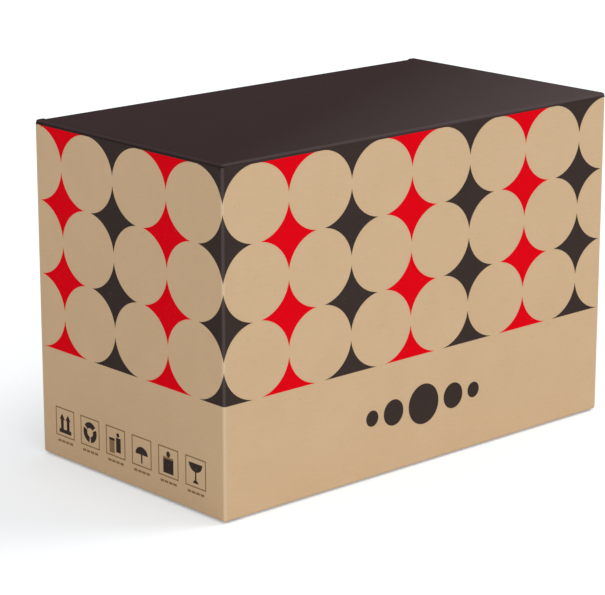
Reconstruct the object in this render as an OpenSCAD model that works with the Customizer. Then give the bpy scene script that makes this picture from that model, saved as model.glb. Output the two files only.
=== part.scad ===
// Tuck-top carton folded from one sheet of single-wall corrugated board.
// The lid is hinged on the front wall, and its tuck flap goes down inside the back wall.
// Front wall faces -Y, floor of the carton at Z = 0, lengths in millimetres.

/* [Carton] */
// Outside length, along X
carton_length = 350; // [260:1:600]
// Outside width, along Y
carton_width = 190; // [140:1:400]
// Outside height with the lid closed
carton_height = 230; // [120:1:450]

/* [Board] */
// Thickness of the board, which is also the outer radius of its folds
board = 2; // [1.5:0.1:5]

/* [Lid] */
// Length of the tuck flap below the lid's back fold
tuck_depth = 34; // [20:1:60]
// Radius of the tuck flap's two lower corners
tuck_corner = 14; // [3:1:19]
// Distance from the lid's ends and back ears to the outside of the walls below
lid_inset = 0.3; // [0:0.1:3]
// Radius of the pressed upper edge at each end of the lid
lid_edge = 1.2; // [0.4:0.1:1.4]

/* [Flaps] */
// Reach of each dust flap from the inside of its end wall
dust_reach = 85; // [40:1:100]
// How far the free end of a dust flap narrows on each side
dust_taper = 12; // [2:1:30]
// Reach of each inner bottom flap from the inside of its end wall
minor_reach = 94; // [40:1:100]
// How far an inner bottom flap lies on the floor before it climbs onto the outer flaps
dip_length = 8; // [4:1:20]
// Length over which it climbs
dip_climb = 5; // [2:1:20]
// Width of the glue tab inside the right wall
tab_width = 30; // [15:1:45]
// Distance from the glue tab's ends to the folds above and below it
tab_end = 8; // [2:1:20]

/* [Clearances] */
// Under the closed lid, above the dust flaps and the back wall
lid_gap = 0.3; // [0.2:0.1:1]
// Between the lid and the front wall, across the mitre at the hinge
hinge_gap = 0.2; // [0.1:0.1:0.6]
// Between the back fold of the lid and the back wall
tuck_gap = 0.8; // [0.5:0.1:2]
// Between the tuck flap's ends and the glue tab
tuck_end_gap = 2.5; // [1:0.5:6]
// Between the dust flaps and the tuck flap
dust_gap = 3; // [2:0.5:8]
// Between the sides of the inner flaps and the long walls
side_gap = 1; // [0.5:0.1:3]
// Between the two outer bottom flaps, where they meet
seam_gap = 1; // [0.4:0.1:3]

/* [Hidden] */
$fn = 64;
kraft = "#cfb18d";
dark_print = "#3c3130";

// Half sizes of the outside and of the space between the walls
half_l = carton_length / 2;
half_w = carton_width / 2;
in_l = half_l - board;
in_w = half_w - board;

// Levels of the layers at the bottom and under the lid
minor_top = 2 * board;
lid_under = carton_height - board;
flap_top = lid_under - lid_gap;
flap_under = flap_top - board;

// The outer bottom flaps end where the inner ones have climbed to lie on them
dip_end = dip_length + dip_climb;
outer_half = in_l - dip_end;

// Back edge of the lid, the centre of its back fold, and the tuck flap's half length
lid_back = in_w - tuck_gap;
tuck_y = lid_back - board;
tuck_half = in_l - board - tuck_end_gap;
tuck_slit = 0.5;

// Ends of the lid, and the back edge of the ear that each slit leaves beside the tuck flap
lid_half = half_l - lid_inset;
ear_back = half_w - lid_inset;

// The flap leans in just enough for its tip to swing out past the back wall
tuck_swing = lid_back + half_w;
lean_spare = 0.6;
tuck_lean = atan(pow(board + tuck_depth, 2) / (2 * tuck_swing * tuck_depth)) + lean_spare;

// Angle by which the back fold runs on inside the flap, so that the two are one sheet
fold_lap = 5;

// Side edges of the inner flaps
flap_front = -(in_w - side_gap);
dust_back = tuck_y - dust_gap;

// The glued tab's fold is pressed this far into the right wall
glue_press = 0.3;

// A length that reaches past the whole carton
far = 2 * (carton_length + carton_width + carton_height);

// Slice of a disc between two directions less than half a turn apart
module slice(r, from, to) {
    mid = (from + to) / 2;
    reach = 4 * r;
    intersection() {
        circle(r);
        polygon([
            [0, 0],
            reach * [cos(from), sin(from)],
            reach * [cos(mid), sin(mid)],
            reach * [cos(to), sin(to)]
        ]);
    }
}

// Rectangle with four rounded corners
module round_rect(x0, x1, y0, y1, r) {
    translate([x0 + r, y0]) square([x1 - x0 - 2 * r, y1 - y0]);
    translate([x0, y0 + r]) square([x1 - x0, y1 - y0 - 2 * r]);
    for (x = [x0 + r, x1 - r], y = [y0 + r, y1 - r])
        translate([x, y]) circle(r);
}

// Straight slab between two opposite corners
module slab(low, high) {
    translate(low) cube(high - low);
}

// Profile drawn in Y and Z, run along X
module along_x(x0, x1) {
    translate([x0, 0, 0]) rotate([90, 0, 90]) linear_extrude(x1 - x0) children();
}

// Profile drawn in X and Z, run along Y
module along_y(y0, y1) {
    translate([0, y1, 0]) rotate([90, 0, 0]) linear_extrude(y1 - y0) children();
}

// Half plane on one side of the mitre between the front wall and the lid
module mitre_side(offset, sign) {
    translate([-in_w, lid_under]) rotate(45)
        translate([sign > 0 ? offset : -far, -far]) square([far - offset, 2 * far]);
}

// Front wall up to the mitre, with its outer bottom flap
module front_wall() {
    slab([-in_l, -half_w, board], [in_l, -in_w, lid_under]);
    along_x(-in_l, in_l)
        intersection() {
            translate([-in_w, lid_under]) slice(board, 90, 180);
            mitre_side(0, -1);
        }
    along_x(-in_l, in_l) translate([-in_w, board]) slice(board, 180, 270);
    slab([-outer_half, -in_w, 0], [outer_half, -seam_gap / 2, board]);
}

// Back wall with a cut top edge, its outer bottom flap, and the glue tab round its right end
module back_wall() {
    fold_x = in_l - board + glue_press;
    slab([-in_l, in_w, board], [fold_x, half_w, flap_top]);
    along_x(-in_l, in_l) translate([in_w, board]) slice(board, 270, 360);
    slab([-outer_half, seam_gap / 2, 0], [outer_half, in_w, board]);
    translate([fold_x, in_w, board]) linear_extrude(flap_top - board) slice(board, 0, 90);
    slab([in_l - board, in_w - tab_width, minor_top + tab_end], [in_l, in_w, flap_under - tab_end]);
}

// Outline of a dust flap, from its fold at x = 0 to its narrowed free end
module dust_outline() {
    polygon([
        [0, flap_front],
        [dust_reach - dust_taper, flap_front],
        [dust_reach, flap_front + dust_taper],
        [dust_reach, dust_back - dust_taper],
        [dust_reach - dust_taper, dust_back],
        [0, dust_back]
    ]);
}

// Section of an inner bottom flap, from its fold at x = 0 up onto the outer flaps, in X and Z
module minor_profile() {
    translate([0, board]) slice(board, 180, 270);
    polygon([
        [0, 0],
        [dip_length, 0],
        [dip_end, board],
        [minor_reach, board],
        [minor_reach, minor_top],
        [dip_end, minor_top],
        [dip_length, board],
        [0, board]
    ]);
}

// Left end wall with its dust flap above and its inner bottom flap below
module left_wall() {
    slab([-half_l, -in_w, board], [-in_l, in_w, flap_under]);
    along_y(flap_front, dust_back) translate([-in_l, flap_under]) slice(board, 90, 180);
    translate([-in_l, 0, flap_under]) linear_extrude(board) dust_outline();
    slab([-half_l, dust_back, flap_under], [-in_l, in_w, flap_top]);
    along_y(flap_front, -flap_front) translate([-in_l, 0]) minor_profile();
}

// Rounded vertical fold between two walls, from the bottom folds to the top ones
module corner_fold(x, y, from) {
    translate([x, y, board]) linear_extrude(flap_top - board) slice(board, from, from + 90);
}

module carton() {
    color(kraft)
    union() {
        front_wall();
        back_wall();
        left_wall();
        mirror([1, 0, 0]) left_wall();
        corner_fold(-in_l, -in_w, 180);
        corner_fold(in_l, -in_w, 270);
        corner_fold(-in_l, in_w, 90);
        // The right wall's cut edge, over the fold of the glue tab
        slab([in_l, in_w, minor_top], [half_l, half_w, flap_top]);
    }
}

// Lid panel from the mitre to the back of its ears, with rounded corners and pressed ends
module lid_panel() {
    intersection() {
        along_x(-lid_half, lid_half)
            intersection() {
                union() {
                    translate([-in_w, lid_under]) slice(board, 90, 180);
                    translate([-in_w, lid_under]) square([ear_back + in_w, board]);
                }
                mitre_side(hinge_gap, 1);
            }
        linear_extrude(far) round_rect(-lid_half, lid_half, -half_w, ear_back, board);
        along_y(-far, far) {
            translate([-lid_half, 0]) square([2 * lid_half, carton_height - lid_edge]);
            translate([-lid_half + lid_edge, 0]) square([2 * (lid_half - lid_edge), carton_height]);
            for (side = [-1, 1])
                translate([side * (lid_half - lid_edge), carton_height - lid_edge]) circle(lid_edge);
        }
    }
}

// Profile of the lid's back fold and of the flap that leans in below it, in Y and Z
module tuck_profile() {
    translate([tuck_y, lid_under]) {
        slice(board, -tuck_lean - fold_lap, 90);
        rotate(-tuck_lean) translate([0, -tuck_depth]) square([board, tuck_depth]);
    }
}

// Outline of the tuck flap as seen from behind, with its lower corners rounded
module tuck_outline() {
    low = lid_under - board * sin(tuck_lean) - tuck_depth * cos(tuck_lean);
    corner_z = low + tuck_corner;
    straight = tuck_half - tuck_corner;
    translate([-tuck_half, corner_z]) square([2 * tuck_half, carton_height - corner_z]);
    translate([-straight, low]) square([2 * straight, tuck_corner]);
    for (side = [-1, 1])
        translate([side * straight, corner_z]) circle(tuck_corner);
}

module lid() {
    color(dark_print)
    union() {
        difference() {
            lid_panel();
            slab([-tuck_half - tuck_slit, tuck_y, lid_under - board], [tuck_half + tuck_slit, half_w, far]);
        }
        intersection() {
            along_x(-half_l, half_l) tuck_profile();
            along_y(0, half_w) tuck_outline();
        }
    }
}

carton();
lid();
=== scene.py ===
# %% [markdown]
# # A printed carton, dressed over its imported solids
#
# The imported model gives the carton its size, its hinge and its weight. This lesson models what the eye
# sees of it: the folded board with its cut edges, the ink on the board, and the light it stands in.
# Everything is in metres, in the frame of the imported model, so a piece goes where the solids say.

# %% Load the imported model
import math

import bmesh
import bpy
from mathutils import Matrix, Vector


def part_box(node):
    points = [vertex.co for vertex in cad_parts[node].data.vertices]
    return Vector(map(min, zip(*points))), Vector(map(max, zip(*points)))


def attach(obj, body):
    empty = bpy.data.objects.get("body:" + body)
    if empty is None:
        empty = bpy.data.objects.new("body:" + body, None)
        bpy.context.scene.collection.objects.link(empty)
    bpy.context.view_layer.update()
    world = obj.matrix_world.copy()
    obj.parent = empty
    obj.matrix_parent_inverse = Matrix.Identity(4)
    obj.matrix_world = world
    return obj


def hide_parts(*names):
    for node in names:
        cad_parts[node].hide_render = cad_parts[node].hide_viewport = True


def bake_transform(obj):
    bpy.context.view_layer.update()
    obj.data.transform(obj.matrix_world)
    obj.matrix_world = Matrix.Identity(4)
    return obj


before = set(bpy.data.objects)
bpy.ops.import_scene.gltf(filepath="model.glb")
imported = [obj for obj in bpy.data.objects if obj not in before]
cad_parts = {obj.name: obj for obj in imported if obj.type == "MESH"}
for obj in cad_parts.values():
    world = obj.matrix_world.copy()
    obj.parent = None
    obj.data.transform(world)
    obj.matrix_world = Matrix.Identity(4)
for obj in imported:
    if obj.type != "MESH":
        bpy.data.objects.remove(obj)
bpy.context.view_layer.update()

# %% [markdown]
# ## Sizes
#
# A carton is drawn from few numbers: its outside, its board and the small gaps that let flaps pass.
# The outside is read from the boxes of the two nodes. The board and the gaps can't be read from a box, so
# they are written once, and every place below is worked out from them.

# %% Take the outside from the frame, and name the board and the gaps
mm = 0.001
carton_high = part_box("carton")[1]
lid_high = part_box("lid")[1]
half_l = carton_high.x
half_w = carton_high.y
height = lid_high.z
lid_half = lid_high.x
ear_back = lid_high.y  # back edge of the two ears beside the tuck flap

board = 2 * mm  # single-wall board, and the outer radius of its folds
sheet = 1.92 * mm  # drawn a hair thinner, so that two layers never share a face
liner = 0.3 * mm  # each of the two flat papers of the board
fold_steps = 6  # flat strips in each rounded fold
lid_gap = 0.3 * mm  # under the closed lid
tuck_gap = 0.8 * mm  # between the lid's back fold and the back wall
side_gap = 1 * mm  # between the flaps inside and the long walls
dust_gap = 3 * mm  # between the dust flaps and the tuck flap

in_l = half_l - board
in_w = half_w - board
minor_top = 2 * board  # top of the two layers at the bottom
lid_under = height - board
flap_top = lid_under - lid_gap
flap_under = flap_top - board
tuck_y = in_w - tuck_gap - board  # the tuck flap's fold turns about this line
flap_side = in_w - side_gap  # half width of the flaps that lie inside the long walls
dust_back = tuck_y - dust_gap
print("outside in mm:", [round(2000 * half_l, 1), round(2000 * half_w, 1), round(1000 * height, 1)])

# %% [markdown]
# ## Working by selection
#
# In Blender an operator works on all that is selected. A script has no mouse, so these helpers select by
# place instead. `begin` adds a primitive at its size and place, `take` selects one piece alone, `pick`
# selects the edges or faces whose middle passes a test, and `pull` extrudes what is selected. The packed
# solids come in selected, so `begin` and `take` clear the selection first.

# %% Helpers that select and shape
def near(a, b, within=0.01 * mm):
    """True if two lengths are the same, give or take a little."""
    return abs(a - b) < within


def take(piece):
    """Select one piece alone, and make it the active one."""
    bpy.ops.object.select_all(action="DESELECT")
    piece.select_set(True)
    bpy.context.view_layer.objects.active = piece


def label(piece, name):
    """Give a piece and its mesh one name."""
    piece.name = name
    piece.data.name = name
    return piece


def begin(name, primitive, place, span, **settings):
    """Add a primitive, and move its place, turn and size into its mesh."""
    bpy.ops.object.select_all(action="DESELECT")
    primitive(location=place, **settings)
    piece = label(bpy.context.object, name)
    piece.scale = span
    bpy.ops.object.transform_apply()
    return piece


def edit(piece):
    """Open one piece for editing, with nothing selected."""
    take(piece)
    bpy.ops.object.mode_set(mode="EDIT")
    bpy.ops.mesh.select_all(action="DESELECT")


def done():
    """Close the piece that is open."""
    bpy.ops.object.mode_set(mode="OBJECT")


def pick(kind, test):
    """Select the edges or faces of the open piece whose middle passes the test."""
    bpy.ops.mesh.select_mode(type="FACE" if kind == "faces" else "EDGE")
    bpy.ops.mesh.select_all(action="DESELECT")
    mesh = bmesh.from_edit_mesh(bpy.context.object.data)
    chosen = 0
    for part in getattr(mesh, kind):
        middle = sum((v.co for v in part.verts), Vector()) / len(part.verts)
        if test(middle, part):
            part.select_set(True)
            chosen += 1
    bmesh.update_edit_mesh(bpy.context.object.data)
    return chosen


def pull(x, y, z):
    """Extrude what is selected and move it."""
    bpy.ops.mesh.extrude_region_move(TRANSFORM_OT_translate={"value": (x, y, z)})


# %% [markdown]
# ## The board, folded like the real blank
#
# A carton is one flat sheet, creased and folded. It could be cut from a block, but the folds would then
# be hard edges and the flaps would not line up with their walls. Here the sheet is folded as in the
# factory: one wall is a plane, the next walls are extruded from its edges, and each crease is bevelled
# into a round fold. The thickness comes last, as a Solidify that grows inwards, so the outside stays
# exactly where the frame puts it.

# %% Walls, from the front wall round to the glue tab
quarter = math.pi / 2
STANDING = (quarter, 0, 0)  # turns a flat primitive up into the plane of X and Z
tab_width = 30 * mm


def round_off(radius, steps=fold_steps, **settings):
    """Bevel the selected edges to a round."""
    bpy.ops.mesh.bevel(offset=radius, segments=steps, affect="EDGES", profile=0.5, **settings)


carton = begin("carton_board", bpy.ops.mesh.primitive_plane_add,
               (0, -half_w, (board + flap_top) / 2), (2 * half_l, flap_top - board, 1),
               size=1, rotation=STANDING)
edit(carton)
pick("edges", lambda middle, edge: near(middle.x, -half_l))
pull(0, 2 * half_w, 0)
pull(2 * half_l - board, 0, 0)
pull(0, -(board + tab_width), 0)
pick("edges", lambda middle, edge: near(middle.x, half_l))
pull(0, 2 * half_w, 0)

creases = pick("edges", lambda middle, edge: not edge.is_boundary)
round_off(board)
print("vertical creases:", creases)

# %% [markdown]
# The flaps are narrower than the walls they hang on, so that they pass each other. Bisect scores the
# lines where a flap starts and ends. Beside the dust flaps the strip between two lines is deleted, which
# leaves the small slots that every carton has at its corners.

# %% Score the walls and the glue tab, and cut the slots
tab_end = 8 * mm  # from the glue tab's ends to the folds above and below it
tab_low = minor_top + tab_end
tab_high = flap_under - tab_end
dip_length = 8 * mm  # an inner bottom flap lies on the floor this far, then climbs
dip_climb = 5 * mm
outer_half = in_l - dip_length - dip_climb
dust_slit = 0.6 * mm  # cut between a dust flap and the shoulder behind it
slit_back = dust_back + dust_slit


def score(test, place, normal):
    """Cut a line into the faces that pass the test."""
    pick("faces", test)
    bpy.ops.mesh.bisect(plane_co=place, plane_no=normal)


def is_end(middle, face):
    return near(abs(middle.x), half_l)


def is_long(middle, face):
    return near(abs(middle.y), half_w)


def is_tab(middle, face):
    return near(middle.x, in_l) and middle.y > 0


def in_slot(y, z):
    return z > flap_under and (-in_w < y < -flap_side or dust_back < y < slit_back)


def is_waste(middle, face):
    if is_tab(middle, face):
        return not tab_low < middle.z < tab_high
    return is_end(middle, face) and in_slot(middle.y, middle.z)


score(is_end, (0, 0, flap_under), (0, 0, 1))
for line in (-flap_side, flap_side, dust_back, slit_back):
    score(is_end, (0, line, 0), (0, 1, 0))
for line in (-outer_half, outer_half):
    score(is_long, (line, 0, 0), (1, 0, 0))
for level in (tab_low, tab_high):
    score(is_tab, (0, 0, level), (0, 0, 1))

waste = pick("faces", is_waste)
bpy.ops.mesh.delete(type="FACE")
print("waste pieces cut out:", waste)

# %% [markdown]
# A flap starts with a fold. Spin turns a wall's whole bottom edge through a quarter circle, and the flap is
# then extruded from the middle of that edge. The bottom has two layers: the short flaps from the ends lie
# on the long ones, which meet in the middle. Beside the end walls a short flap dips to the floor, so that
# all four walls stand on their folds.

# %% Fold in the bottom flaps
seam_gap = 1 * mm  # between the two long flaps, where they meet
minor_reach = 94 * mm  # of the short flaps, from the inside of their walls


def turn(centre, axis, degrees):
    """Spin what is selected through a round fold, and leave its new end selected."""
    # Spin counts its angle against the axis, so the sign changes here
    bpy.ops.mesh.spin(steps=fold_steps, angle=-math.radians(degrees), center=centre, axis=axis)


for side in (-1, 1):
    pick("edges", lambda middle, edge: near(middle.y, side * half_w) and near(middle.z, board)
         and abs(middle.x) < in_l)
    turn((0, side * in_w, board), (1, 0, 0), -90 * side)
    pick("edges", lambda middle, edge: near(middle.y, side * in_w) and near(middle.z, 0)
         and abs(middle.x) < outer_half)
    pull(0, -side * (in_w - seam_gap / 2), 0)

    pick("edges", lambda middle, edge: near(middle.x, side * half_l) and near(middle.z, board)
         and abs(middle.y) < half_w)
    turn((side * in_l, 0, board), (0, 1, 0), 90 * side)
    pick("edges", lambda middle, edge: near(middle.x, side * in_l) and near(middle.z, 0)
         and abs(middle.y) < flap_side)
    pull(-side * dip_length, 0, 0)
    pull(-side * dip_climb, 0, board)
    pull(-side * (minor_reach - dip_length - dip_climb), 0, 0)
print("bottom flaps end at x in mm:", round(1000 * outer_half, 1), round(1000 * (in_l - minor_reach), 1))

# %% [markdown]
# The dust flaps go in at the top of the end walls. Their fold is sharp here, and it is rounded once the
# board has its thickness. The front wall grows a little, up to the crease of the lid.

# %% Fold in the dust flaps
dust_reach = 85 * mm  # from the inside of an end wall
dust_taper = 12 * mm  # how far the free end narrows on each side
dust_width = dust_back + flap_side
dust_middle = (dust_back - flap_side) / 2


def count(piece):
    """Name, triangles and size in mm of a piece."""
    triangles = sum(len(face.vertices) - 2 for face in piece.data.polygons)
    return f"{piece.name}: {triangles} triangles, {[round(1000 * d, 1) for d in piece.dimensions]} mm"


for side in (-1, 1):
    pick("edges", lambda middle, edge: near(middle.x, side * half_l) and near(middle.z, flap_top)
         and -flap_side < middle.y < dust_back)
    pull(-side * (board + dust_reach - dust_taper), 0, 0)
    pull(-side * dust_taper, 0, 0)
    bpy.ops.transform.resize(value=(1, 1 - 2 * dust_taper / dust_width, 1),
                             center_override=(0, dust_middle, 0))

pick("edges", lambda middle, edge: near(middle.y, -half_w) and near(middle.z, flap_top)
     and abs(middle.x) < in_l)
pull(0, 0, lid_under - flap_top)
done()
print(count(carton))

# %% [markdown]
# Solidify gives the sheet its thickness. It also gives the three kinds of surface their own material
# slots: the outside, the inside, and the rim where the board was cut. At the top corners the knife presses
# the dark print over the short cuts, so those get a fourth slot. The finishes follow further down.

# %% Give the board its thickness
OUTSIDE, INSIDE, CUT, INKED = 0, 1, 2, 3
top_round = 1 * mm  # the dust flaps are pressed flat under the lid, so their fold is tight
square_on = 0.9  # a face looks along an axis if this much of its normal does
inked_from = in_l - board  # cuts further out than this are inked


def finish_with(piece, kind, **settings):
    """Add one modifier to a piece, set it and apply it."""
    take(piece)
    bpy.ops.object.modifier_add(type=kind)
    modifier = piece.modifiers[-1]
    for name, value in settings.items():
        setattr(modifier, name, value)
    bpy.ops.object.modifier_apply(modifier=modifier.name)


def is_flap_side(middle, face):
    """Faces above the slots' foot that look along Y, most of them sides of the dust flaps."""
    return middle.z > flap_under and abs(face.normal.y) > square_on


def is_corner_cut(middle, face):
    """The short cuts close to the top corners."""
    is_high = middle.z > flap_under - liner
    is_cut = face.material_index == CUT or is_flap_side(middle, face)
    return is_high and is_cut and abs(middle.x) > inked_from


for name in ("kraft_liner", "kraft_liner_inside", "cut_board_edge", "dark_brown_ink"):
    carton.data.materials.append(bpy.data.materials.new(name))
finish_with(carton, "SOLIDIFY", thickness=sheet, offset=-1, use_even_offset=True,
            material_offset=INSIDE, material_offset_rim=CUT)
edit(carton)
pick("edges", lambda middle, edge: near(abs(middle.x), half_l) and near(middle.z, flap_top)
     and -flap_side < middle.y < dust_back)
round_off(top_round)
for side in (-1, 1):
    score(is_flap_side, (side * inked_from, 0, 0), (1, 0, 0))
inked = pick("faces", is_corner_cut)
carton.active_material_index = INKED
bpy.ops.object.material_slot_assign()
done()
print("inked cuts:", inked, "-", count(carton))

# %% [markdown]
# Where two bottom folds and a vertical fold meet, the pressed board makes a small round corner. An eighth
# of a ball fits there: a sphere, cut by three planes through its middle. The fourth corner has none,
# because two walls only overlap there, at the glue joint.

# %% Round the bottom corners
def cut(place, normal, **settings):
    """Cut all of the open piece along a plane."""
    bpy.ops.mesh.select_all(action="SELECT")
    bpy.ops.mesh.bisect(plane_co=place, plane_no=normal, **settings)


def join(name, pieces):
    """Join several pieces into the first one, under one name."""
    take(pieces[0])
    for piece in pieces[1:]:
        piece.select_set(True)
    bpy.ops.object.join()
    return label(pieces[0], name)


def round_corner(side_x, side_y):
    """An eighth of a ball that closes the corner between three folds."""
    eye = (side_x * in_l, side_y * in_w, board)
    ball = begin("round_corner", bpy.ops.mesh.primitive_uv_sphere_add, eye, (1, 1, 1),
                 segments=4 * fold_steps, ring_count=2 * fold_steps, radius=board)
    edit(ball)
    for outward in ((side_x, 0, 0), (0, side_y, 0), (0, 0, -1)):
        cut(eye, outward, clear_inner=True, use_fill=True)
    print("open edges at a corner:", pick("edges", lambda middle, edge: edge.is_boundary))
    done()
    ball.data.materials.append(carton.data.materials[OUTSIDE])
    return ball


corners = [round_corner(side_x, side_y) for side_x, side_y in ((-1, -1), (1, -1), (-1, 1))]
carton = join("carton_board", [carton] + corners)
print(count(carton))

# %% [markdown]
# ## Cut edges with flutes
#
# Corrugated board is two flat liners with a wave of paper between them. Where a knife crosses the waves
# the edge shows them, and this is what tells the eye that it is cardboard. A picture of waves would be
# flat, so the edge is hollowed with an inset that is pushed in, and a wavy strip is set in the hollow.
# The flutes run up the walls, so they show on the back wall's top edge and on the flaps' free ends.

# %% Hollow the edges that cross the flutes
hollow = 1.6 * mm
long_edge = 100 * mm * mm  # only the straight run of a wall's cut edge is larger
partly_on = 0.5  # a slanting face looks along an axis with this much of its normal


def crosses_flutes(middle, face):
    if face.material_index != CUT:
        return False
    on_back_top = near(middle.z, flap_top) and middle.y > in_w and face.calc_area() > long_edge
    is_free_end = abs(face.normal.x) > partly_on and abs(middle.x) < in_l - dust_reach / 2
    on_dust_end = middle.z > flap_under and is_free_end
    on_minor_end = board < middle.z < minor_top and near(abs(middle.x), in_l - minor_reach)
    return on_back_top or on_dust_end or on_minor_end


def smooth(piece, degrees=35):
    """Shade smooth across edges that turn less than the angle, and crisp across the others."""
    take(piece)
    bpy.ops.object.shade_smooth_by_angle(angle=math.radians(degrees))


edit(carton)
hollowed = pick("faces", crosses_flutes)
bpy.ops.mesh.inset(thickness=liner, depth=-hollow)
done()
smooth(carton)
print("hollowed edges:", hollowed, "-", count(carton))

# %% Make one row of flutes, and set rows into the hollows
flute_pitch = 4 * mm
flute_thickness = 0.2 * mm
wave_steps = 8


def put(piece, turned, place):
    """Turn and move a piece, and keep both in its mesh."""
    take(piece)
    piece.rotation_euler = turned
    piece.location = place
    bpy.ops.object.transform_apply()
    return piece


def flute_row(length, turned, place):
    """A wavy strip along X that fills a hollow below its own origin, then is turned and moved there."""
    waves = round(length / flute_pitch)
    strip = begin("flute_row", bpy.ops.mesh.primitive_grid_add, (0, 0, -hollow / 2), (length, hollow, 1),
                  size=1, x_subdivisions=wave_steps * waves, y_subdivisions=1, rotation=STANDING)
    swing = sheet / 2 - liner
    for vertex in strip.data.vertices:
        vertex.co.y = swing * math.sin(2 * math.pi * waves * vertex.co.x / length)
    finish_with(strip, "SOLIDIFY", thickness=flute_thickness, offset=0)
    return put(strip, turned, place)


back_length = 2 * in_l - board - 2 * liner
rows = [flute_row(back_length, (0, 0, 0), (-board / 2, half_w - sheet / 2, flap_top))]
for side in (-1, 1):
    facing = (quarter, 0, -side * quarter)
    rows.append(flute_row(dust_width - 2 * dust_taper - 2 * liner, facing,
                          (side * (in_l - dust_reach), dust_middle, flap_top - sheet / 2)))
    rows.append(flute_row(2 * flap_side - 2 * liner, facing,
                          (side * (in_l - minor_reach), 0, board + sheet / 2)))
carton_flutes = join("carton_flutes", rows)
smooth(carton_flutes, degrees=40)
print(count(carton_flutes))

# %% [markdown]
# ## The lid
#
# The lid is the same sheet, folded over the front wall. It is modelled as a slab, because its ends are
# pressed round and printed dark, so no cut edge shows there. Its front corners are bevelled in plan, and
# its upper rim is bevelled almost as far as the board is thick. Two short slits leave an ear at each end
# of its back edge, as a real tuck lid has.

# %% Slab, corners and ears
tuck_end_gap = 2.5 * mm  # between the tuck flap's right end and the glue tab
tuck_half = in_l - board - tuck_end_gap
tuck_slit = 0.5 * mm
slit_end = tuck_half + tuck_slit
ear_round = 0.8 * board
rim_round = 1.8 * mm

lid = begin("lid_board", bpy.ops.mesh.primitive_cube_add, (0, (tuck_y - half_w) / 2, height - board / 2),
            (2 * lid_half, tuck_y + half_w, board), size=1)
edit(lid)
pick("edges", lambda middle, edge: near(abs(middle.x), lid_half) and near(middle.y, -half_w))
round_off(board)
for line in (-slit_end, -tuck_half, tuck_half, slit_end):
    cut((line, 0, 0), (1, 0, 0))
pick("faces", lambda middle, face: face.normal.y > square_on and abs(middle.x) > slit_end)
pull(0, ear_back - tuck_y, 0)
pick("edges", lambda middle, edge: near(abs(middle.x), lid_half) and near(middle.y, ear_back))
round_off(ear_round)


def is_upper_rim(middle, edge):
    in_slits = abs(middle.x) < slit_end or near(abs(middle.x), slit_end)
    at_tuck_flap = in_slits and middle.y > tuck_y - board
    beside_a_side = any(abs(face.normal.z) < 1 - square_on for face in edge.link_faces)
    return near(middle.z, height) and beside_a_side and not at_tuck_flap


rim = pick("edges", is_upper_rim)
round_off(rim_round, steps=5, clamp_overlap=False)
print("edges round the lid:", rim)

# %% [markdown]
# The tuck flap goes down inside the back wall and holds the lid shut. Like the bottom flaps it is spun
# through its fold and then extruded. It leans in just enough for its tip to swing out past the back wall,
# and its lower corners are bevelled wide, so that it finds its way in.

# %% Tuck flap
tuck_depth = 34 * mm
tuck_corner = 14 * mm
tuck_swing = tuck_y + board + half_w
lean_spare = math.radians(0.6)
tuck_lean = math.atan((board + tuck_depth) ** 2 / (2 * tuck_swing * tuck_depth)) + lean_spare
fold_drop = 0.1 * mm  # an edge right on the axis of a fold would sweep no face
free_end = 0.99  # a face at the free end looks down with this much of its normal

fold_eye = Vector((0, tuck_y, lid_under - fold_drop))
down_flap = Vector((0, -math.sin(tuck_lean), -math.cos(tuck_lean)))
out_of_flap = Vector((0, math.cos(tuck_lean), -math.sin(tuck_lean)))
tip = fold_eye + tuck_depth * down_flap + (board / 2 + fold_drop) * out_of_flap


def is_at_tip(middle):
    return near(middle.z, tip.z, board / 4)


pick("faces", lambda middle, face: face.normal.y > square_on and near(middle.y, tuck_y)
     and abs(middle.x) < tuck_half)
turn(fold_eye, (1, 0, 0), -90 - math.degrees(tuck_lean))
pull(*(tuck_depth * down_flap))
pick("edges", lambda middle, edge: near(abs(middle.x), tuck_half) and is_at_tip(middle))
round_off(tuck_corner, steps=10)
pick("faces", lambda middle, face: face.normal.dot(down_flap) > free_end and is_at_tip(middle))
bpy.ops.mesh.inset(thickness=liner, depth=-hollow)
done()
print(count(lid))

# %% [markdown]
# ## The crease that the lid turns on
#
# Between the front wall and the lid the board bends, and the print on it bends with it. The crease is cut
# off the lid as a piece of its own.

# %% Cut the crease off the lid
def copy_of(piece, name):
    """A copy of a piece, with a mesh of its own."""
    take(piece)
    bpy.ops.object.duplicate()
    return label(bpy.context.object, name)


crease = copy_of(lid, "lid_crease")
for piece, side in ((lid, {"clear_inner": True}), (crease, {"clear_outer": True})):
    edit(piece)
    cut((0, -in_w, 0), (0, 1, 0), use_fill=True, **side)
    done()
    smooth(piece)
print(count(lid), "-", count(crease))

# %% [markdown]
# The lid gets the same signs of real board as the walls: flutes in its flap's free edge, and three kinds
# of surface. A slab has no Solidify to tell those apart, so place and normal do it.

# %% Flutes in the tuck flap's free edge
lean_turn = (math.pi - tuck_lean, 0, 0)
lid_flutes = label(flute_row(2 * (tuck_half - tuck_corner) - 2 * liner, lean_turn, tip), "lid_flutes")
smooth(lid_flutes, degrees=40)
print(count(lid_flutes))


# %% Tell the lid's printed outside from its bare inside and its cut edge
def lid_slot(face):
    if near(face.center.z, lid_under, 2 * fold_drop) and face.normal.z < -square_on:
        return INSIDE
    if face.center.z < lid_under - board / 2 and abs(face.normal.dot(out_of_flap)) < partly_on:
        return CUT
    if face.center.z < lid_under and face.normal.y < -partly_on:
        return INSIDE
    return OUTSIDE


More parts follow.
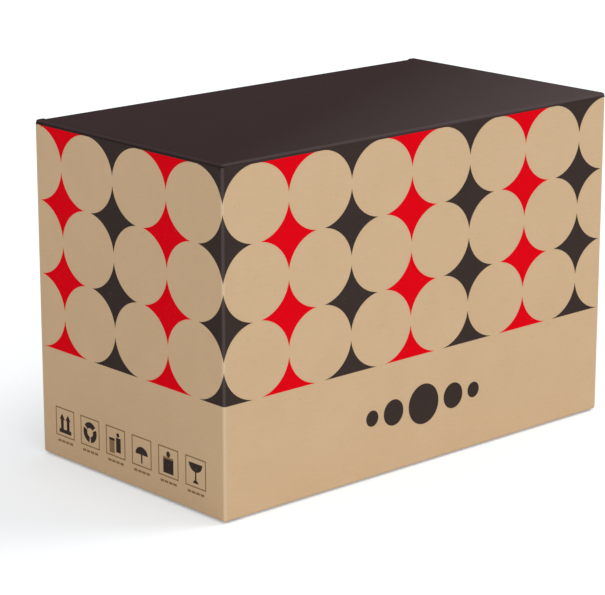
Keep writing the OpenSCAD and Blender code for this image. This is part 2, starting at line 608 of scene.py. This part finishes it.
for piece in (lid, crease):
    for slot in (OUTSIDE, INSIDE, CUT):
        piece.data.materials.append(None)
    for face in piece.data.polygons:
        face.material_index = lid_slot(face)
kinds = [face.material_index for face in lid.data.polygons]
print("lid faces outside, inside, cut:", [kinds.count(slot) for slot in (OUTSIDE, INSIDE, CUT)])

# %% [markdown]
# ## The print
#
# The walls carry a simple repeat: round dots of bare board, with a four-pointed star of ink wherever four
# dots meet, dark and red by turns round the walls. Such a print could be a picture or a node pattern, but
# a picture blurs close up, and neither is a shape. Here the ink is a very thin layer of its own. It is
# drawn flat, as on the printing plate, with the distance round the walls along X, and then wrapped.

# %% One column of stars, cut from a plate
columns = 20
girth = 4 * (in_l + in_w) + 2 * math.pi * board
column = girth / columns
row = 50.3 * mm
row_count = 3
print_top = 227 * mm
dot_overlap = 0.22 * mm  # dots run into each other a little, so the stars' points stay apart
plate_thickness = 2 * mm

plate = begin("star_column", bpy.ops.mesh.primitive_cube_add, (0, 0, print_top - row_count * row / 2),
              (column, plate_thickness, row_count * row), size=1)
dots = []
for side in (-1, 1):
    for level in range(row_count):
        dots.append(begin("dot", bpy.ops.mesh.primitive_cylinder_add,
                          (side * column / 2, 0, print_top - (level + 0.5) * row),
                          (column / 2 + dot_overlap, row / 2 + dot_overlap, 1),
                          vertices=96, radius=1, depth=5 * plate_thickness, rotation=STANDING))
dots = join("dots", dots)
finish_with(plate, "BOOLEAN", operation="DIFFERENCE", object=dots, solver="EXACT", use_self=True)
bpy.data.objects.remove(dots)

edit(plate)
pick("faces", lambda middle, face: face.normal.y > -square_on)
bpy.ops.mesh.delete(type="FACE")
done()
put(plate, (0, 0, 0), (0, plate_thickness / 2, 0))
print("stars in a column:", len(plate.data.polygons), "column in mm:", round(1000 * column, 2))

# %% [markdown]
# The sheet starts and ends at the glue joint, where the repeat meets itself almost exactly, as on a real
# carton. Each wall is a straight panel of the sheet, and a corner is a short arc between two panels.

# %% Where the walls lie on the flat sheet
corner = quarter * board
over_top = quarter * top_round
fold_foot = flap_top - top_round
front_start = corner / 2
left_start = -corner / 2 - 2 * in_w
right_start = front_start + 2 * in_l + corner
back_start = left_start - corner - (2 * in_l - board)
sheet_end = right_start + in_w + half_w
# Each panel has its start and length along the sheet, its first corner in plan and its heading
PANELS = (
    (back_start, 2 * in_l - board, Vector((in_l - board, half_w)), Vector((-1, 0))),
    (left_start, 2 * in_w, Vector((-half_l, in_w)), Vector((0, -1))),
    (front_start, 2 * in_l, Vector((-in_l, -half_w)), Vector((1, 0))),
    (right_start, in_w + half_w, Vector((half_l, -in_w)), Vector((0, 1))),
)


def on_carton(along, z, over_fold):
    """The point of the outside at a distance round the walls and up them, or over an end wall's top."""
    for start, length, first, heading in PANELS:
        outward = Vector((heading.y, -heading.x))
        turned = max(0, along - start - length) / board
        if turned < quarter or start == right_start:
            break
    if turned > 0:
        eye = first + heading * length - outward * board
        outward = outward * math.cos(turned) + heading * math.sin(turned)
        flat = eye + outward * board
    else:
        flat = first + heading * (along - start)
    if over_fold:
        run = z - fold_foot
        bend = min(run / top_round, quarter)
        flat = flat - outward * (top_round * (1 - math.cos(bend)) + max(0, run - over_top))
        z = fold_foot + top_round * math.sin(bend)
    return Vector((flat.x, flat.y, z))


def is_over_fold(along, z):
    """True where the print goes over the top fold of an end wall and onto its dust flap."""
    wall = on_carton(along, z, False)
    return z > fold_foot and near(abs(wall.x), half_l) and -flap_side < wall.y < dust_back


print("print starts and ends in mm:", round(1000 * back_start, 1), round(1000 * sheet_end, 1))

# %% [markdown]
# Ink that crosses a fold has to bend with it, so the flat layer is first cut along the fold's lines. What
# lies over an end wall's top fold is split from the rest, because a slot in the board parts them. Each
# vertex then moves to its place on the carton, and a Solidify closes the layer to a tenth of a millimetre.

# %% Wrap a flat layer of ink round the carton
ink_thickness = 0.12 * mm
finest_cut = 0.001 * mm  # points closer to a line than this count as on it
FOLD_LINES = [start + length + corner * step / fold_steps
              for start, length, first, heading in PANELS[:3] for step in range(fold_steps + 1)]
FLAP_LINES = [middle + side * y for middle, side in ((left_start + in_w, -1), (right_start + in_w, 1))
              for y in (-flap_side, dust_back, slit_back)]
LEVELS = [fold_foot + over_top * step / fold_steps for step in range(fold_steps + 1)]
LEVELS += [flap_under, flap_top, lid_under]


def is_off_the_board(middle, face):
    if is_over_fold(middle.x, middle.z):
        return False
    wall = on_carton(middle.x, middle.z, False)
    cut_out = near(abs(wall.x), half_l) and in_slot(wall.y, middle.z)
    top = lid_under if near(wall.y, -half_w) else flap_top
    return cut_out or middle.z > top or not back_start < middle.x < sheet_end


def wrap(ink):
    """Cut a flat layer at the folds, move it onto the carton and give it its thickness."""
    edit(ink)
    for line in FOLD_LINES + FLAP_LINES + [back_start, sheet_end]:
        cut((line, 0, 0), (1, 0, 0), threshold=finest_cut)
    for level in LEVELS:
        cut((0, 0, level), (0, 0, 1), threshold=finest_cut)
    pick("faces", is_off_the_board)
    bpy.ops.mesh.delete(type="FACE")
    pick("faces", lambda middle, face: is_over_fold(middle.x, middle.z))
    bpy.ops.mesh.split()
    done()
    over = {}
    for face in ink.data.polygons:
        over.update(dict.fromkeys(face.vertices, is_over_fold(face.center.x, face.center.z)))
    for vertex in ink.data.vertices:
        vertex.co = on_carton(vertex.co.x, vertex.co.z, over[vertex.index])
    finish_with(ink, "SOLIDIFY", thickness=ink_thickness, offset=0)
    smooth(ink)
    return ink


# %% [markdown]
# The column is copied round the walls with an Array, every second one red. Above the stars the dark ink is
# a plain field that runs on over the top folds, as far as the lid can show it.

# %% Copy the columns, add the dark field above them, and wrap both inks
dust_margin = 8 * mm  # how far the ink goes on along the dust flaps
field_top = fold_foot + over_top + dust_margin
half_round = columns // 2

red_stars = copy_of(plate, "red_star_print")
for ink, first in ((plate, -half_round), (red_stars, 1 - half_round)):
    put(ink, (0, 0, 0), (first * column, 0, 0))
    # Every second column, as far to the right of the near corner as to its left
    finish_with(ink, "ARRAY", count=1 - first, use_relative_offset=False, use_constant_offset=True,
                constant_offset_displace=(2 * column, 0, 0))
field = begin("dark_field", bpy.ops.mesh.primitive_plane_add,
              ((back_start + sheet_end) / 2, 0, (print_top + field_top) / 2),
              (sheet_end - back_start, field_top - print_top, 1), size=1, rotation=STANDING)
dark_stars = wrap(join("dark_star_print", [plate, field]))
red_stars = wrap(red_stars)
print(count(dark_stars), "-", count(red_stars))

# %% [markdown]
# ## Small marks on the left end
#
# Low on the left end there is a row of six small framed signs with a line of dashes under each. They are
# kept as plain shapes: a pair of arrows, a broken ring, a post beside a bin, a dome, a block and a cup.
# Each is cut from flat patches on the same plate as the stars. Frames and dashes are printed paler.

# %% Patches of ink, and the places of the marks
sign_size = 20.3 * mm
sign_line = 0.85 * mm
sign_step = 27.3 * mm
sign_height = 26 * mm
sign_margin = 26.3 * mm  # from the near fold to the middle of the nearest sign
nearest_sign = left_start + 2 * in_w - sign_margin


def bar(along, z, width, tall):
    """A straight patch, flat on the plate."""
    return begin("patch", bpy.ops.mesh.primitive_plane_add, (along, 0, z), (width, tall, 1),
                 size=1, rotation=STANDING)


def disc(along, z, width, tall):
    """A round patch, flat on the plate."""
    return begin("patch", bpy.ops.mesh.primitive_circle_add, (along, 0, z), (width, tall, 1),
                 vertices=40, radius=0.5, fill_type="NGON", rotation=STANDING)


def half_disc(along, z, width, tall, keep):
    """The upper or the lower half of a round patch."""
    patch = disc(along, z, width, tall)
    edit(patch)
    cut((0, 0, z), (0, 0, keep), clear_inner=True)
    done()
    return patch


def sign_frame(along, z):
    """A thin square line: a patch that is inset and loses its middle."""
    patch = bar(along, z, sign_size, sign_size)
    edit(patch)
    bpy.ops.mesh.select_all(action="SELECT")
    bpy.ops.mesh.inset(thickness=sign_line, use_even_offset=True)
    bpy.ops.mesh.delete(type="FACE")
    done()
    return patch


# %% [markdown]
# Two signs need more than bars and discs: an arrow is a bar whose top is pulled out twice, and the ring is
# a circle pulled inwards.

# %% Arrow and broken ring
shaft_width = 2.9 * mm
shaft_length = 6.8 * mm
shaft_drop = 1.6 * mm  # from the middle of the sign down to the middle of the shaft
head_rises = ((0.05 * mm, 1.9), (4 * mm, 0.02))  # how far up, and how wide against the step before
ring_across = 14.2 * mm
ring_hole = 0.44  # share of the ring's width that is open
RING_GAPS = [math.radians(degrees) for degrees in (30, 150, 270)]
gap_reach = math.radians(10)


def arrow(along, z):
    """A shaft whose top edge is pulled out wide and then drawn to a point."""
    patch = bar(along, z - shaft_drop, shaft_width, shaft_length)
    edit(patch)
    for rise, spread in head_rises:
        top = max(vertex.co.z for vertex in bmesh.from_edit_mesh(patch.data).verts)
        pick("edges", lambda middle, edge: near(middle.z, top))
        pull(0, 0, rise)
        bpy.ops.transform.resize(value=(spread, 1, 1), center_override=(along, 0, z))
    done()
    return patch


def broken_ring(along, z):
    """A ring with three gaps: a circle pulled inwards, with some of its faces taken out."""
    ring = begin("patch", bpy.ops.mesh.primitive_circle_add, (along, 0, z), (ring_across, ring_across, 1),
                 vertices=48, radius=0.5, fill_type="NOTHING", rotation=STANDING)
    edit(ring)
    bpy.ops.mesh.select_all(action="SELECT")
    pull(0, 0, 0)
    bpy.ops.transform.resize(value=(ring_hole, 1, ring_hole), center_override=(along, 0, z))

    def in_gap(middle, face):
        angle = math.atan2(middle.z - z, middle.x - along)
        return any(math.cos(angle - gap) > math.cos(gap_reach) for gap in RING_GAPS)

    pick("faces", in_gap)
    bpy.ops.mesh.delete(type="FACE")
    done()
    return ring


# %% [markdown]
# A sign is a short list of patches, each with its place from the middle of the frame and its size, in
# millimetres. A list is easier to read and to change than a row of calls, and one function draws it.

# %% The six signs, from the far corner to the near one
# Each sign has its dark patches first and its pale ones second
SIGNS = (
    ([(arrow, -3.2, 0), (arrow, 3.2, 0), (bar, 0, -6.2, 13, 2.6)], []),
    ([(broken_ring, 0, 0)], []),
    ([(disc, 2.6, 5.4, 3, 3), (bar, 3, -1.6, 4.8, 10), (bar, -3.8, 1.4, 5.8, 1.8)],
     [(bar, -3.8, -3.8, 5.4, 8.4)]),
    ([(half_disc, 0, -1.8, 12.6, 10.6, 1), (bar, 0, -4.8, 1.3, 6)], []),
    ([(disc, 0, 5.4, 3.9, 3.9), (bar, 0, -2.8, 10.2, 9.6)], [(bar, 0, 2.7, 10.2, 1.4)]),
    ([(half_disc, 0, 6.2, 13.2, 11.8, -1), (bar, 0, -2.4, 1.3, 6.4), (half_disc, 0, -7.2, 5.4, 4, 1)], []),
)
dash_step = 4.3
DASHES = [(bar, dash_step * place, -13.5, 3.4, 1.6) for place in (-1.5, -0.5, 0.5, 1.5)]


def draw(patches, along):
    """Draw a list of patches round the middle of one sign."""
    drawn = []
    for shape, x, z, *measures in patches:
        # The last number of a half disc says which half is kept, and isn't a length
        lengths = [measure * mm for measure in measures[:2]]
        drawn.append(shape(along + x * mm, sign_height + z * mm, *lengths, *measures[2:]))
    return drawn


dark_patches = []
pale_patches = []
for number, (dark, pale) in enumerate(SIGNS):
    along = nearest_sign - (len(SIGNS) - 1 - number) * sign_step
    dark_patches += draw(dark, along)
    pale_patches += [sign_frame(along, sign_height)] + draw(pale + DASHES, along)
end_signs = wrap(join("end_signs", dark_patches))
end_sign_tints = wrap(join("end_sign_tints", pale_patches))
print(count(end_signs), "-", count(end_sign_tints))

# %% [markdown]
# ## An ornament on the front
#
# The plain band of the front wall carries one dark ornament in its middle. A row of dots that grow towards
# the middle repeats the round theme of the print.

# %% Draw the row of dots
ornament_height = 41 * mm
ornament_dots = ((0, 28 * mm), (28 * mm, 18 * mm), (47.5 * mm, 11 * mm))  # from the middle, and across
front_middle = front_start + in_l
discs = []
for offset, across in ornament_dots:
    for side in ((-1, 1) if offset else (1,)):
        discs.append(disc(front_middle + side * offset, ornament_height, across, across))
front_ornament = wrap(join("front_ornament", discs))
print(count(front_ornament))

# %% [markdown]
# ## Finishes
#
# Everything here is paper: brown kraft liner, bare or under water-based ink. Paper is matte, a little
# cloudy, full of short fibres, and over flutes it keeps a faint washboard. One function makes that grain,
# and each finish lays its own colours over it. Scales are real sizes, turned into waves per metre.

# %% Colour and node helpers
def linear(code):
    """An sRGB hex colour as the linear numbers that shaders use."""
    shares = [int(code[i:i + 2], 16) / 255 for i in (1, 3, 5)]
    return [s / 12.92 if s <= 0.04045 else ((s + 0.055) / 1.055) ** 2.4 for s in shares] + [1.0]


def add(tree, kind, inputs=None, **settings):
    """Add a node, set it, and set or link its inputs."""
    made = tree.nodes.new("ShaderNode" + kind)
    for name, value in settings.items():
        setattr(made, name, value)
    for socket, value in (inputs or {}).items():
        if isinstance(value, bpy.types.NodeSocket):
            tree.links.new(value, made.inputs[socket])
        else:
            made.inputs[socket].default_value = value
    return made


def start_finish(name, roughness, specular):
    """A material with its shader set to a plain gloss level."""
    material = bpy.data.materials.get(name) or bpy.data.materials.new(name)
    material.use_nodes = True
    shader = material.node_tree.nodes["Principled BSDF"]
    shader.inputs["Roughness"].default_value = roughness
    shader.inputs["Specular IOR Level"].default_value = specular
    return material, material.node_tree, shader


# %% [markdown]
# On its folds every finish is painted paler: a painted highlight, where a rounded fold catches the light. A
# highlight painted into a picture would need a map for each piece, but the normal says as well where a
# surface turns.

# %% Paper grain, and the painted highlight along folds
cloud_size = 28 * mm
# Fibres are hair thin, and drawn this thick and long so that they show
fibre_width = 0.9 * mm
fibre_length = 7 * mm
grain_depth = 0.03 * mm
ROUND_WALLS = (1, 1, 0)  # X and Y together cross the flutes on every wall
# How strong the painted fold highlight is, for each pair of axes that a fold turns between
UPRIGHT_FOLD_HIGHLIGHTS = {"XY": 0.75}
LID_FOLD_HIGHLIGHTS = {"YZ": 0.75, "XZ": 0.45}


def paper_grain(tree, shader, across, dark, light):
    """Clouds and fibres between two colours, with a bump of the fibres and of the flutes below."""
    place = add(tree, "TexCoord").outputs["Object"]
    cloud = add(tree, "TexNoise", {"Vector": place, "Scale": 1 / cloud_size, "Detail": 3.0}).outputs["Fac"]
    per_metre = (1 / fibre_length, 1 / fibre_length, 1 / fibre_width)
    drawn = add(tree, "Mapping", {"Vector": place, "Scale": per_metre})
    fibre = add(tree, "TexNoise", {"Vector": drawn.outputs[0], "Scale": 1.0, "Detail": 2.0}).outputs["Fac"]
    turned = add(tree, "VectorMath", {0: place, 1: across}, operation="DOT_PRODUCT").outputs["Value"]
    phase = add(tree, "Math", {0: turned, 1: 2 * math.pi / flute_pitch}, operation="MULTIPLY").outputs[0]
    flute = add(tree, "Math", {0: phase}, operation="SINE").outputs[0]
    # The flutes count half as much as the fibres
    relief = add(tree, "Math", {0: flute, 1: 0.5, 2: fibre}, operation="MULTIPLY_ADD").outputs[0]
    bump = add(tree, "Bump", {"Height": relief, "Distance": grain_depth, "Strength": 0.6})
    tree.links.new(bump.outputs["Normal"], shader.inputs["Normal"])
    both = add(tree, "Math", {0: cloud, 1: fibre}, operation="ADD").outputs[0]
    grain = add(tree, "Math", {0: both, 1: 0.5}, operation="MULTIPLY").outputs[0]
    shade = add(tree, "Mix", {0: grain, 6: linear(dark), 7: linear(light)}, data_type="RGBA").outputs[2]
    return place, shade


def painted_fold_highlight(tree, colour, highlight, highlighted_folds):
    """Paint a paler colour where the surface turns over a fold, strongest half way round: a painted
    highlight.
    """
    normal = add(tree, "TexCoord").outputs["Normal"]
    parts = add(tree, "SeparateXYZ", {"Vector": normal}).outputs
    for (one, other), share in highlighted_folds.items():
        # A normal half way between two axes has the largest product of their parts, one half
        product = add(tree, "Math", {0: parts[one], 1: parts[other]}, operation="MULTIPLY").outputs[0]
        turn_over = add(tree, "Math", {0: product}, operation="ABSOLUTE").outputs[0]
        reach = {"From Min": 0.1, "From Max": 0.5, "To Max": share}
        highlight_strength = add(tree, "MapRange", {"Value": turn_over, **reach}).outputs[0]
        colour = add(tree, "Mix", {0: highlight_strength, 6: colour, 7: linear(highlight)}, data_type="RGBA").outputs[2]
    return colour


def specked(tree, place, colour, speck, size, share):
    """Mix in fine specks of another colour, at most as strong as the share."""
    noise = add(tree, "TexNoise", {"Vector": place, "Scale": 1 / size, "Detail": 1.0}).outputs["Fac"]
    reach = {"From Min": 0.7, "From Max": 0.82, "To Max": share}
    strength = add(tree, "MapRange", {"Value": noise, **reach}).outputs[0]
    return add(tree, "Mix", {0: strength, 6: colour, 7: linear(speck)}, data_type="RGBA").outputs[2]


# %% [markdown]
# Kraft liner is unbleached, with a few dark flecks of bark. The outside is a little paler than the inside,
# and a cut edge is darker, because light gets lost between its papers.

# %% Kraft liner, bare board
def kraft_liner(name, dark, light, highlight):
    """Unbleached kraft paper: matte and warm, with cloudy shades and a few dark flecks."""
    material, tree, shader = start_finish(name, roughness=0.85, specular=0.1)
    place, shade = paper_grain(tree, shader, ROUND_WALLS, dark, light)
    colour = specked(tree, place, shade, speck="#8a6a46", size=1.6 * mm, share=0.25)
    # Painted highlight: the colour turns paler over the folds
    tree.links.new(painted_fold_highlight(tree, colour, highlight, UPRIGHT_FOLD_HIGHLIGHTS), shader.inputs["Base Color"])
    return material


# The third colour of each is the painted highlight over the folds
outer_liner = kraft_liner("kraft_liner", "#c8aa85", "#d6b996", "#e0c8a8")
inner_liner = kraft_liner("kraft_liner_inside", "#bb9a72", "#ccae88", "#ccae88")
cut_board = kraft_liner("cut_board_edge", "#a5835b", "#bf9d74", "#bf9d74")
flute_paper = kraft_liner("flute_paper", "#a07d55", "#b8956b", "#b8956b")
print("kraft finishes:", [m.name for m in (outer_liner, inner_liner, cut_board, flute_paper)])


# %% [markdown]
# Water-based ink soaks into kraft, so it stays matte and is never quite even: it follows the cloudy paper,
# and pinholes leave a little board showing. On a fold it is painted paler, a painted highlight. It takes
# almost no shine, because the lid is seen at a low angle, where any gloss would turn it grey. On the lid the
# ink is painted slowly paler towards the right front corner: a painted sheen, lighter where the light falls
# more strongly.

# %% Inks
def water_based_ink(name, dark, light, highlight, across=ROUND_WALLS, highlighted_folds=UPRIGHT_FOLD_HIGHLIGHTS, sheen=None):
    """Flexographic ink on kraft: matte, faint clouds, pinholes, a painted fold highlight, an optional
    painted sheen.
    """
    material, tree, shader = start_finish(name, roughness=0.7, specular=0.005)
    place, shade = paper_grain(tree, shader, across, dark, light)
    # Painted sheen: paler towards the right front corner, where the light falls more strongly
    if sheen:
        heading = (0.5, -1, 0)  # to the right front corner
        toward = add(tree, "VectorMath", {0: place, 1: heading}, operation="DOT_PRODUCT").outputs["Value"]
        sheen_share = add(tree, "MapRange", {"Value": toward, "From Max": half_l}).outputs[0]
        shade = add(tree, "Mix", {0: sheen_share, 6: shade, 7: linear(sheen)}, data_type="RGBA").outputs[2]
    colour = specked(tree, place, shade, speck="#b99870", size=1.3 * mm, share=0.2)
    # Painted highlight: the ink turns paler over the folds
    tree.links.new(painted_fold_highlight(tree, colour, highlight, highlighted_folds), shader.inputs["Base Color"])
    return material


# The third colour of each ink is the painted highlight over the folds
dark_ink = water_based_ink("dark_brown_ink", "#382f2c", "#3f3633", "#584f4e")
red_ink = water_based_ink("red_ink", "#da0515", "#e4091b", "#ea3f42")
pale_ink = water_based_ink("pale_brown_ink", "#866c4e", "#907657", "#a98e6c")
# The lid's last colour is the painted sheen towards its right front corner
lid_ink = water_based_ink("dark_brown_ink_on_lid", "#342727", "#3a2c2c", "#534a49",
                          across=(1, 0, 0), highlighted_folds=LID_FOLD_HIGHLIGHTS, sheen="#524747")
print("inks:", [m.name for m in (dark_ink, red_ink, pale_ink, lid_ink)])

# %% Lay the finishes on the pieces
FINISHES = (
    ((outer_liner, inner_liner, cut_board, dark_ink), (carton,)),
    ((lid_ink, inner_liner, cut_board), (lid, crease)),
    ((flute_paper,), (carton_flutes, lid_flutes)),
    ((dark_ink,), (dark_stars, end_signs, front_ornament)),
    ((red_ink,), (red_stars,)),
    ((pale_ink,), (end_sign_tints,)),
)
for finishes, pieces in FINISHES:
    for piece in pieces:
        while len(piece.data.materials) < len(finishes):
            piece.data.materials.append(None)
        for slot, finish in enumerate(finishes):
            piece.data.materials[slot] = finish
    print("finished:", [piece.name for piece in pieces])

# %% [markdown]
# ## What moves with what
#
# The walls and all that is printed on them ride on the carton, and the lid and its flutes ride on the lid.
# The modelled boards stand for the two imported solids.

# %% Tie the pieces to the bodies
RIDES = (
    (carton, "carton", "kraft_board"), (carton_flutes, "carton", "kraft_board"),
    (dark_stars, "carton", "dark_print"), (red_stars, "carton", "red_print"),
    (end_signs, "carton", "dark_print"), (end_sign_tints, "carton", "dark_print"),
    (front_ornament, "carton", "dark_print"),
    (lid, "lid", "dark_print"), (lid_flutes, "lid", "kraft_board"),
)
for piece, body, slot in RIDES:
    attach(piece, body)
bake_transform(crease)
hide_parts("carton")
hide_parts("lid")

# %% [markdown]
# ## Floor, light and camera
#
# The carton stands on a plain white floor under a pale sky that lights all sides. Lighting the floor itself
# to white would wash out the carton. So floor and sky are lifted to white only for rays that look at them,
# and the shadow stays.

# %% Floor and sky
def looked_at(tree):
    """One for rays that show the background, straight, in gloss or through glass, and zero for its light."""
    path = add(tree, "LightPath").outputs
    shown = path["Is Camera Ray"]
    for kind in ("Is Glossy Ray", "Is Transmission Ray"):
        shown = add(tree, "Math", {0: shown, 1: path[kind]}, operation="ADD").outputs[0]
    return shown


floor_size = 60
floor_lift = 0.27
sky_level = 0.58
# The floor lies a little low, as under bottom flaps that bow, which draws a dark line below the folds
floor_gap = 1.2 * mm

floor = begin("floor", bpy.ops.mesh.primitive_plane_add, (0, 0, -floor_gap), (floor_size, floor_size, 1),
              size=1)
white, tree, shader = start_finish("white_floor", roughness=0.9, specular=0.0)
shader.inputs["Base Color"].default_value = linear("#fbfbfb")
# A little blue, because the board throws a warm light on the floor round it
shader.inputs["Emission Color"].default_value = linear("#e0f2ff")
lift = add(tree, "Math", {0: looked_at(tree), 1: floor_lift}, operation="MULTIPLY").outputs[0]
tree.links.new(lift, shader.inputs["Emission Strength"])
floor.data.materials.append(white)

world = bpy.data.worlds.new("studio")
world.use_nodes = True
bpy.context.scene.world = world
tree = world.node_tree
sky = tree.nodes["Background"]
sky.inputs["Color"].default_value = linear("#ffffff")
level = add(tree, "MapRange", {"Value": looked_at(tree), "To Min": sky_level, "To Max": 1.0}).outputs[0]
tree.links.new(level, sky.inputs["Strength"])
print("floor below the carton in mm:", round(1000 * floor_gap, 1))


# %% [markdown]
# A wide soft light from the right makes the left end darker and throws the faint shadow to the left, and a
# second one fills the front. Area lamps would fade across the floor, so both are suns with a wide disc.

# %% Soft lights
def soft_light(name, heading, strength, spread):
    """An even light that travels along a heading, from a disc as wide as the spread in degrees."""
    light = bpy.data.lights.new(name, "SUN")
    light.energy = strength
    light.angle = math.radians(spread)
    stand = bpy.data.objects.new(name, light)
    bpy.context.scene.collection.objects.link(stand)
    stand.rotation_euler = Vector(heading).to_track_quat("-Z", "Y").to_euler()


soft_light("key_light", (-0.62, 0.28, -0.73), strength=0.82, spread=30)
soft_light("front_light", (0.25, 0.80, -0.55), strength=0.73, spread=60)
print("lights:", [light.name for light in bpy.data.lights])

# %% [markdown]
# The camera has a long lens, three quarters round to the left and a little above. Its focal length was
# measured in pixels, and the sensor's width turns that into millimetres.

# %% Camera
bpy.context.scene.view_settings.view_transform = "Standard"
image_width = 605
focal_pixels = 2511
around = math.radians(-42.24)
down = math.radians(15.33)

lens = bpy.data.cameras.new("camera")
lens.sensor_width = 36
lens.lens = lens.sensor_width * focal_pixels / image_width
lens.clip_end = 100
camera = bpy.data.objects.new("camera", lens)
bpy.context.scene.collection.objects.link(camera)
bpy.context.scene.camera = camera
camera.location = (-1.1356, -1.2252, 0.5533)
sight = Vector((-math.sin(around) * math.cos(down), math.cos(around) * math.cos(down), -math.sin(down)))
camera.rotation_euler = sight.to_track_quat("-Z", "Y").to_euler()
print("lens in mm:", round(lens.lens, 1))
